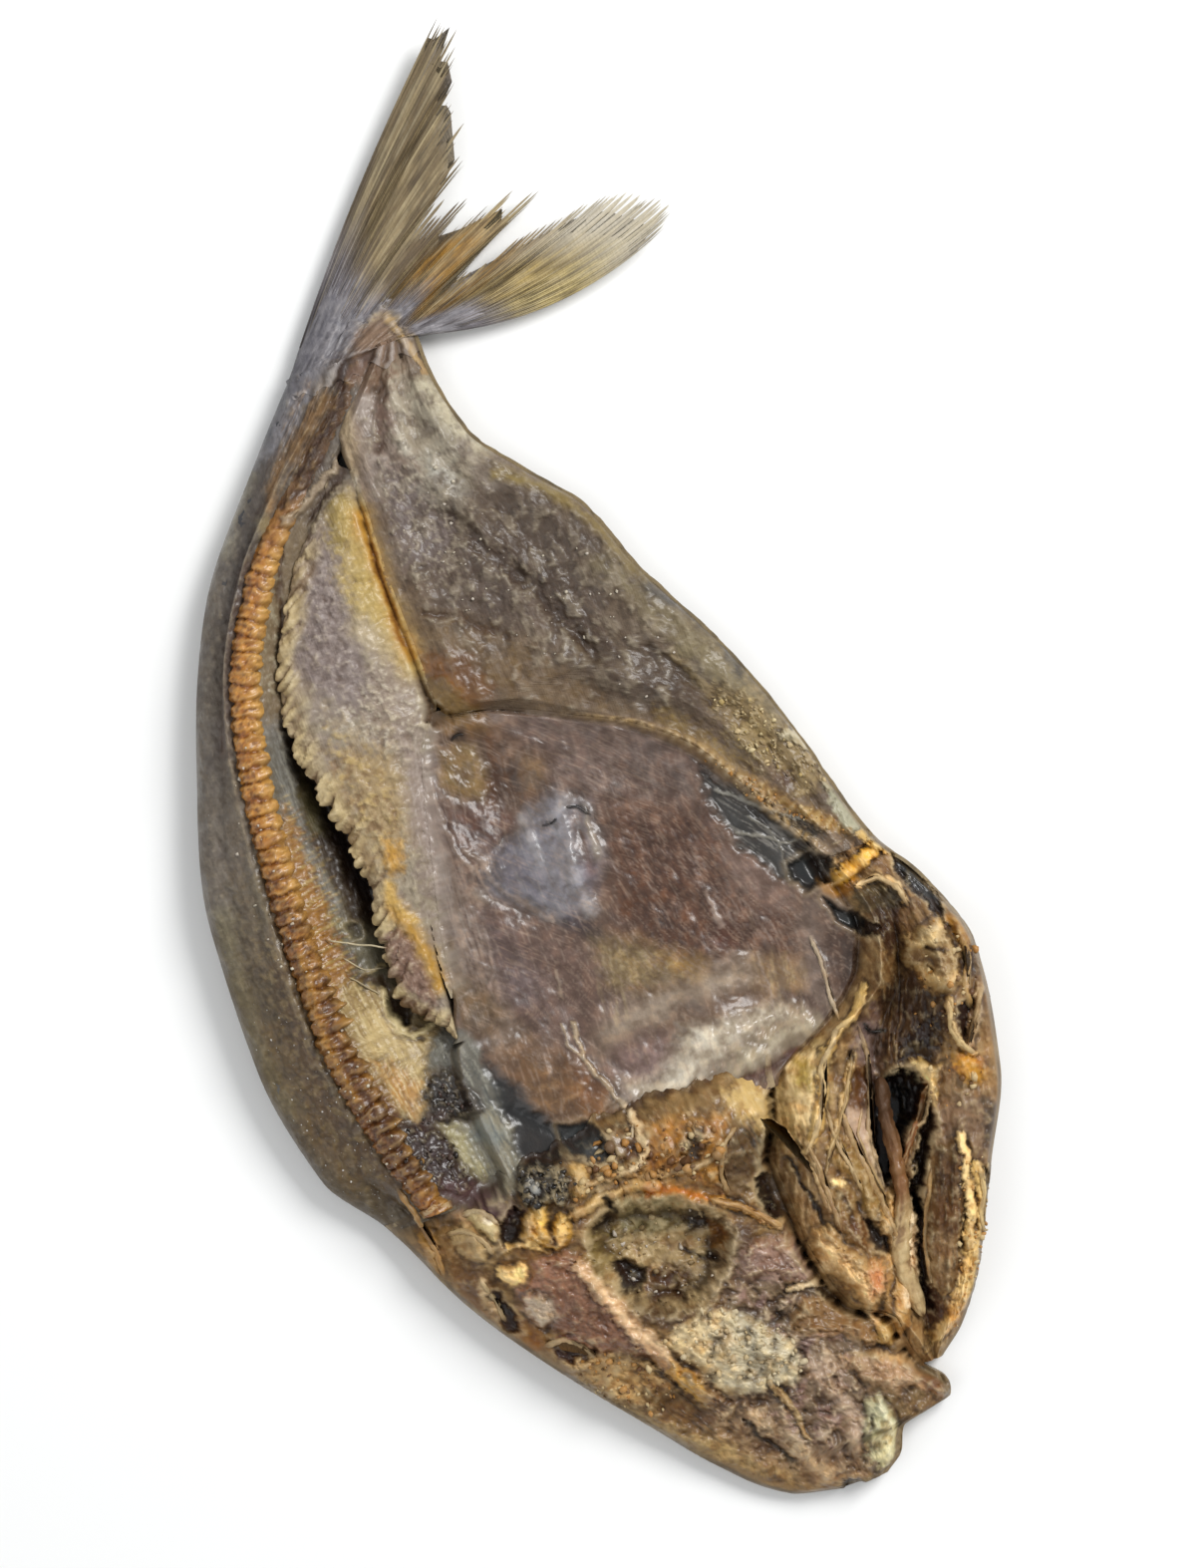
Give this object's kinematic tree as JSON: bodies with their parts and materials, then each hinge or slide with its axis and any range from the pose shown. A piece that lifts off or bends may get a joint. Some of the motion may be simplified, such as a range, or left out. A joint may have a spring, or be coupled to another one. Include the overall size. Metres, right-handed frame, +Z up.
{
  "type": "salted dried catfish",
  "caption": "Salted and dried catfish, split along the backbone and opened flat, with head and tail fin, lying skin side down.",
  "frame": {"origin": "centre of the floor area that the fish covers, at the floor", "axes": "+X along the fish towards the snout, +Y across towards the free fillet, +Z up out of the opened side"},
  "size_m": [0.454, 0.2119, 0.03],
  "materials": {
    "skin": "slate grey dried skin, paler and wrinkled below, satin",
    "flesh_left": "glassy grey-olive dried flesh with salt specks",
    "backbone": "oily orange bone, darker between the vertebrae",
    "rib_flap": "tan flesh mottled lilac, pale yellow edge",
    "flesh_right": "grey-brown dried flesh with a bloom of salt",
    "belly_lining": "purple-brown membrane, silvery and glossy",
    "head_left": "cut skull, tan bone with dark hollows and salt crystals",
    "head_right": "cream and tan bony strips with dark clefts",
    "gill_prong": "cream-tan gill bone, rough edges",
    "tail_fin": "olive-tan fin rays, blue-grey root, dry"
  },
  "bodies": {
    "root": {"skin": "skin", "left_fillet": "flesh_left", "backbone": "backbone", "rib_flap": "rib_flap", "right_fillet": "flesh_right", "belly_lining": "belly_lining", "head_left": "head_left", "head_right": "head_right", "gill_prong": "gill_prong", "tail_fin": "tail_fin"}
  },
  "joints": []
}
